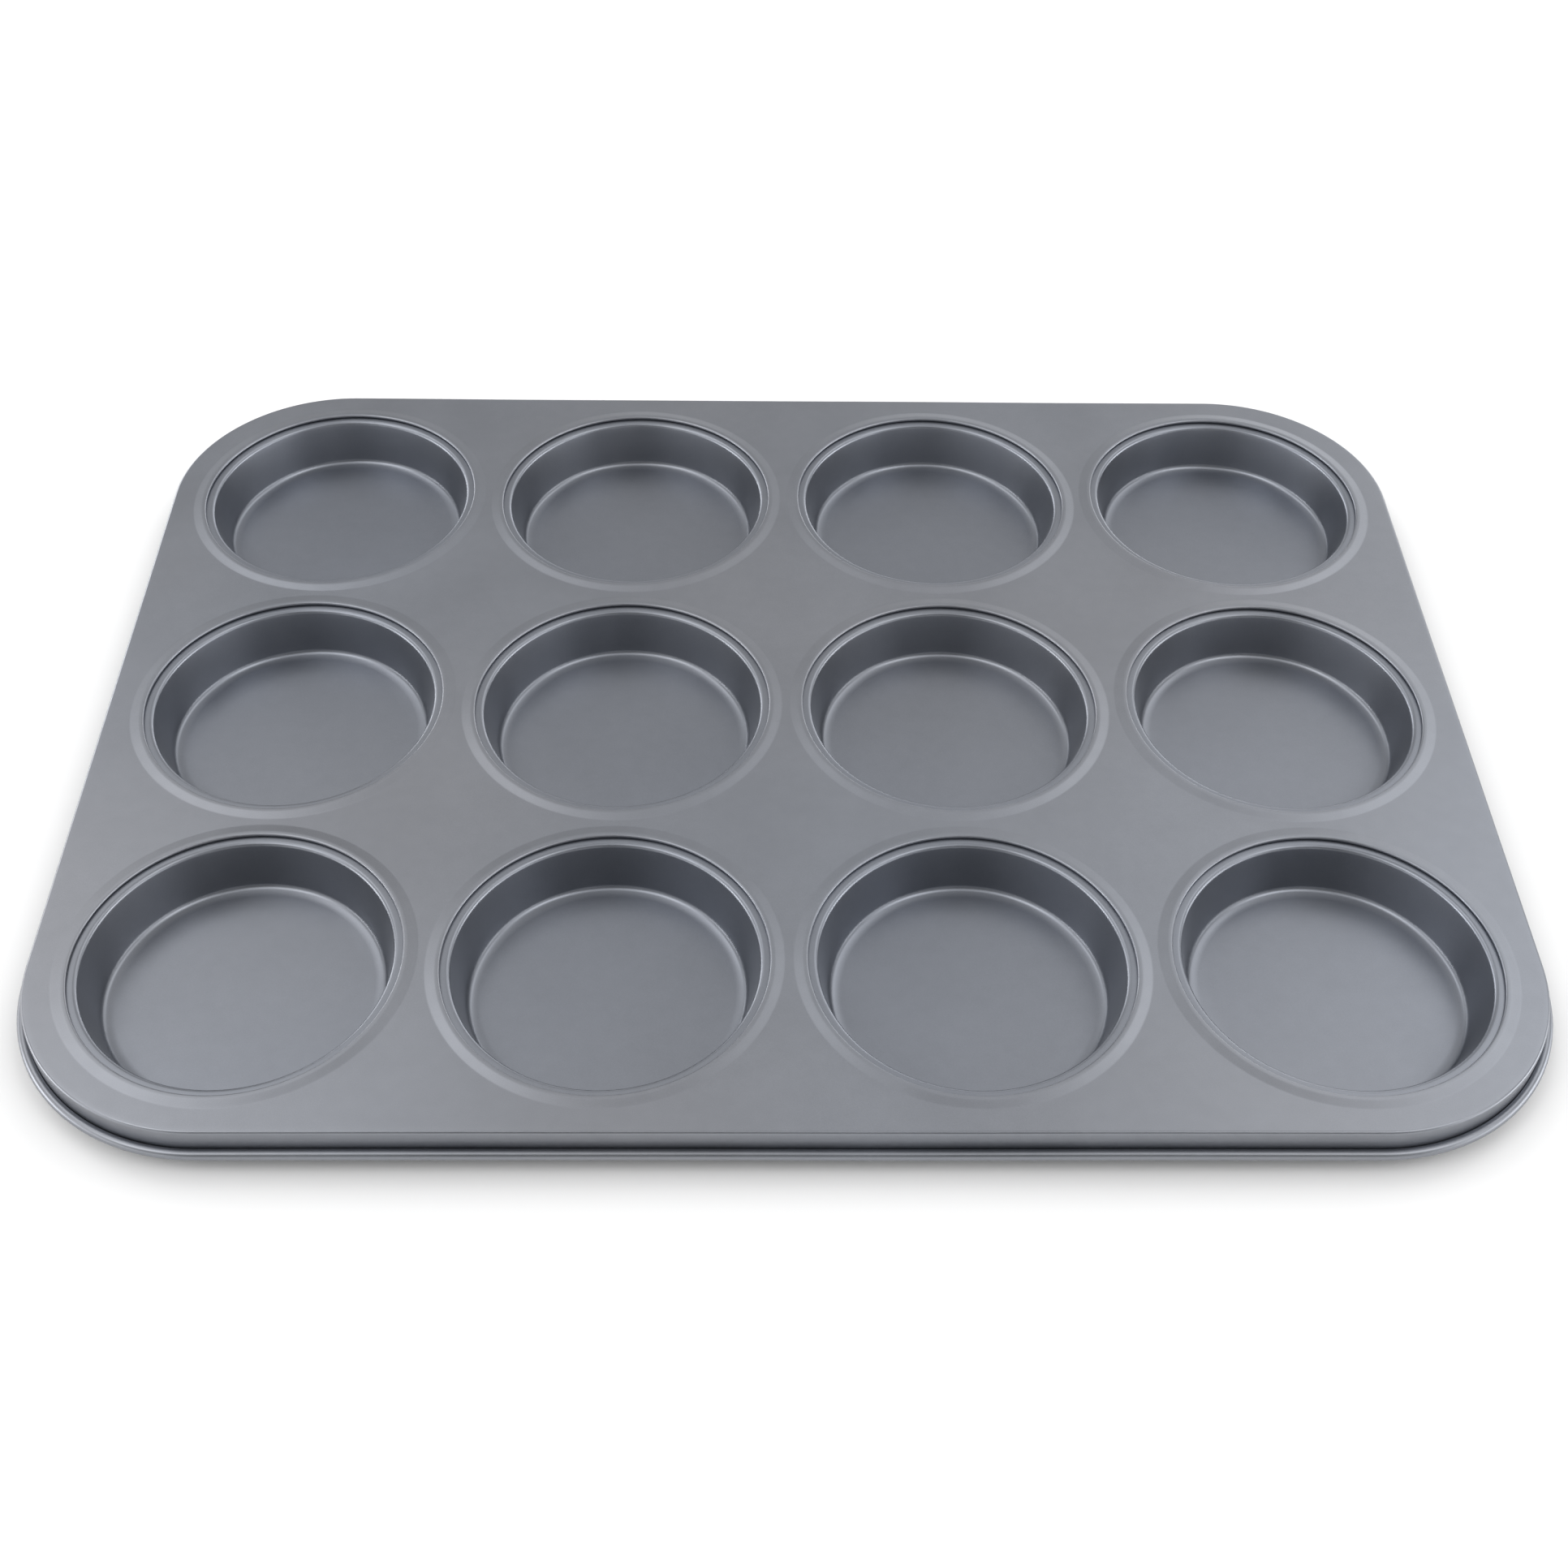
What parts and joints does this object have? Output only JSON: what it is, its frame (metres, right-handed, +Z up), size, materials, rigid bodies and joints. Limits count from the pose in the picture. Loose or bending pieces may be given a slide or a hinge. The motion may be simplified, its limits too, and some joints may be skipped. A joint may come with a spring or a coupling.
{
  "type": "muffin tin",
  "caption": "Shallow muffin tin of coated steel: a rounded rectangular frame with a rolled, wired edge holds a grid of straight-sided round cups in folded lock seams.",
  "frame": {"origin": "centre of the plane the tin rests on, midway between the cups, at the underside of the cup floors", "axes": "+X along the long side (4 cups), +Y towards the rear long side (3 rows), +Z up out of the cups"},
  "size_m": [0.3744, 0.2848, 0.0147],
  "materials": {
    "frame_coating": "satin grey non-stick coating on pressed sheet steel",
    "cup_coating": "satin grey non-stick coating on drawn sheet steel",
    "rim_wire_steel": "drawn steel wire, bare"
  },
  "bodies": {
    "root": {"frame": "frame_coating", "rim_wire": "rim_wire_steel", "cup_row1_col1": "cup_coating", "cup_row1_col2": "cup_coating", "cup_row1_col3": "cup_coating", "cup_row1_col4": "cup_coating", "cup_row2_col1": "cup_coating", "cup_row2_col2": "cup_coating", "cup_row2_col3": "cup_coating", "cup_row2_col4": "cup_coating", "cup_row3_col1": "cup_coating", "cup_row3_col2": "cup_coating", "cup_row3_col3": "cup_coating", "cup_row3_col4": "cup_coating"}
  },
  "joints": []
}
